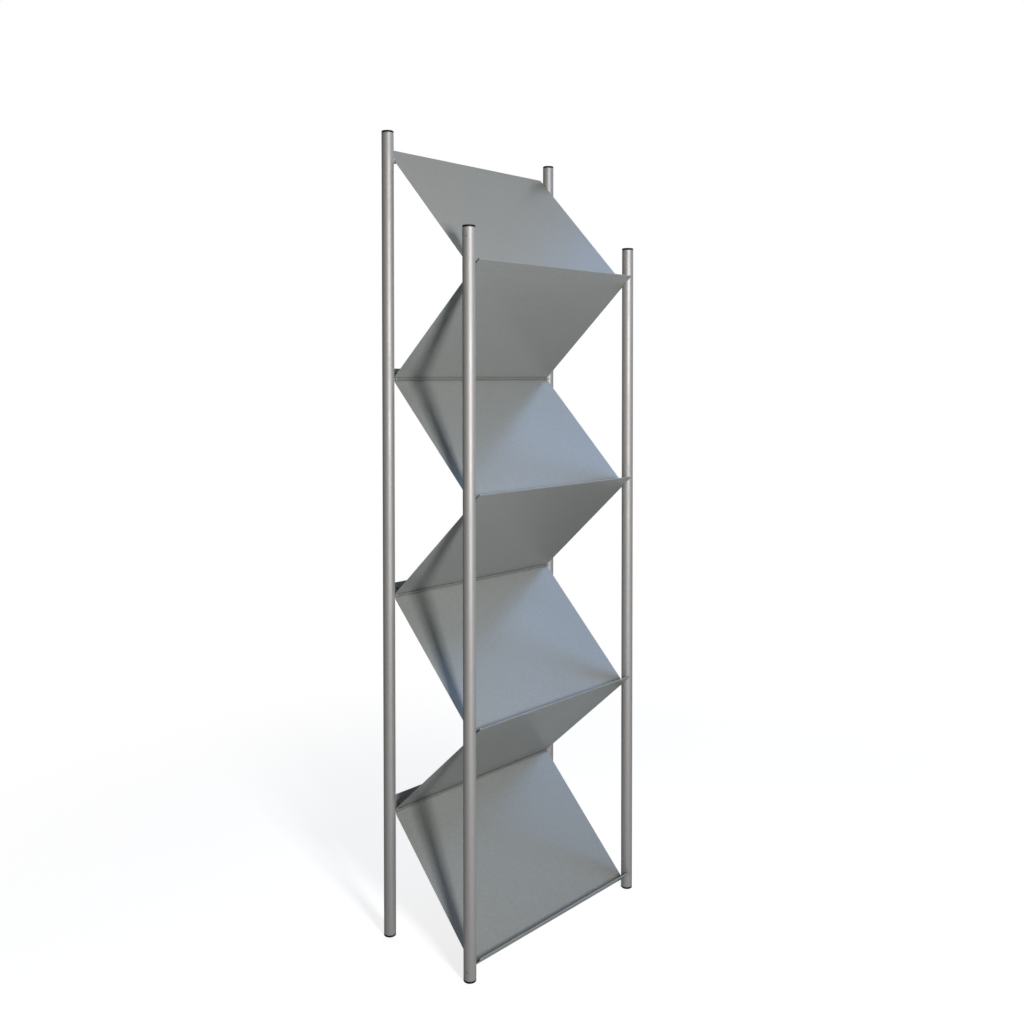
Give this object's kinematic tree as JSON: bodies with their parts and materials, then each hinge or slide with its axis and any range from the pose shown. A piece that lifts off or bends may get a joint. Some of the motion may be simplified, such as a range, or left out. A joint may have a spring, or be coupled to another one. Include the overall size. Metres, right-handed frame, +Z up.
{
  "type": "periodical display rack",
  "caption": "Free-standing display rack for magazines: tube posts and cross rods carry folded metal sheets that zigzag down as sloping shelves with hemmed lips, open to the front and the rear.",
  "frame": {"origin": "on the floor, in the middle of the four posts", "axes": "+X across the width, -Y towards the front, the side of the shorter posts, +Z up"},
  "size_m": [0.525, 0.274, 1.669],
  "materials": {
    "tube": "satin",
    "sheet": "satin",
    "rod": "brushed",
    "plug": "matte"
  },
  "bodies": {
    "root": {"back_rod_1": "rod", "back_rod_2": "rod", "back_rod_3": "rod", "back_rod_4": "rod", "foot_back_left": "plug", "foot_back_right": "plug", "foot_front_left": "plug", "foot_front_right": "plug", "front_rod_1": "rod", "front_rod_2": "rod", "front_rod_3": "rod", "front_rod_4": "rod", "post_back_left": "tube", "post_back_right": "tube", "post_front_left": "tube", "post_front_right": "tube", "rear_shelf_1": "sheet", "rear_shelf_2": "sheet", "rear_shelf_3": "sheet", "shelf_1": "sheet", "shelf_2": "sheet", "shelf_3": "sheet", "shelf_4": "sheet", "top_cap_back_left": "plug", "top_cap_back_right": "plug", "top_cap_front_left": "plug", "top_cap_front_right": "plug"}
  },
  "joints": []
}
